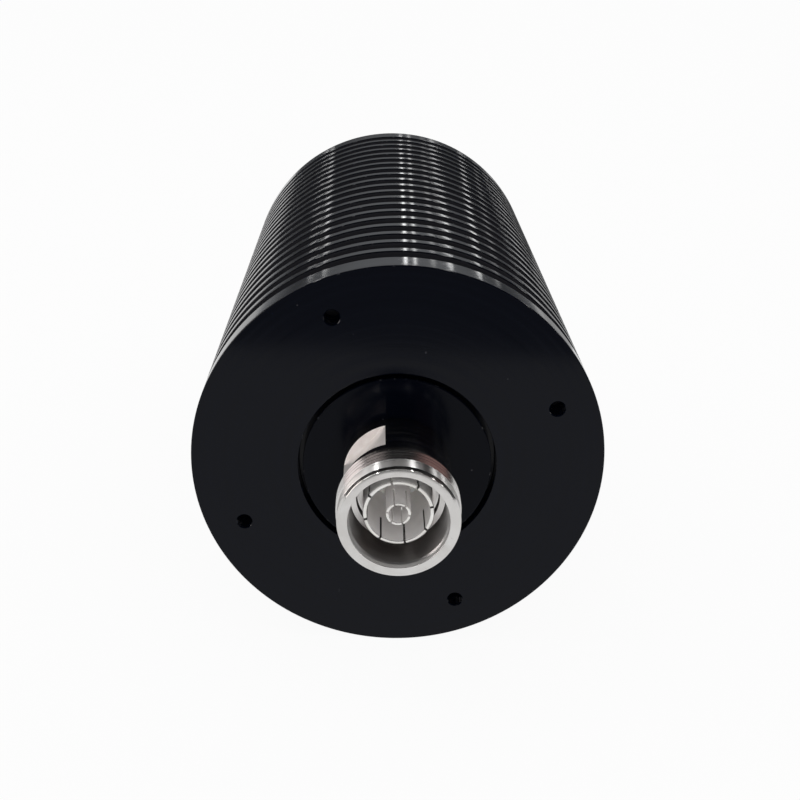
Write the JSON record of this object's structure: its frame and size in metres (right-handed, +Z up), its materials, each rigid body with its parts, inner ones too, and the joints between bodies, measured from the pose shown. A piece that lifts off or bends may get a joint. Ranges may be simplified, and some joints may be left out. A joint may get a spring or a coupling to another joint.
{
  "type": "coaxial attenuator",
  "caption": "Finned round coaxial attenuator with a threaded jack in the middle of each end face and tapped mounting holes round it.",
  "frame": {"origin": "centre of the front face, on the body's axis", "axes": "+Y runs along the body from the front face to the rear face, +Z is up, and the front jack points to -Y"},
  "size_m": [0.07, 0.158, 0.07],
  "materials": {
    "black_anodised": "turned, black anodised, satin",
    "black_cap": "turned, black anodised, satin",
    "plated_shell": "brass, white bronze plated, bright",
    "plated_contact": "spring bronze, silver plated",
    "insulator": "turned fluoropolymer",
    "core_metal": "milled, bare",
    "screw_steel": "bright",
    "copper_flange": "copper, bare",
    "white_ceramic": "fired, matt",
    "printed_silver": "fired silver paste",
    "printed_film": "fired resistor paste"
  },
  "bodies": {
    "root": {"heat_sink": "black_anodised", "front_cap": "black_cap", "rear_cap": "black_cap", "front_shell": "plated_shell", "rear_shell": "plated_shell", "front_outer_contact": "plated_contact", "rear_outer_contact": "plated_contact", "front_bead": "insulator", "rear_bead": "insulator", "front_inner_contact": "plated_contact", "rear_inner_contact": "plated_contact", "core_base": "core_metal", "core_lid": "core_metal", "lid_screws": "screw_steel", "chip_flange": "copper_flange", "chip_screws": "screw_steel", "ceramic_plate": "white_ceramic", "printed_conductors": "printed_silver", "resistor_film": "printed_film", "ceramic_cover": "white_ceramic", "front_tab": "plated_contact", "rear_tab": "plated_contact"}
  },
  "joints": []
}
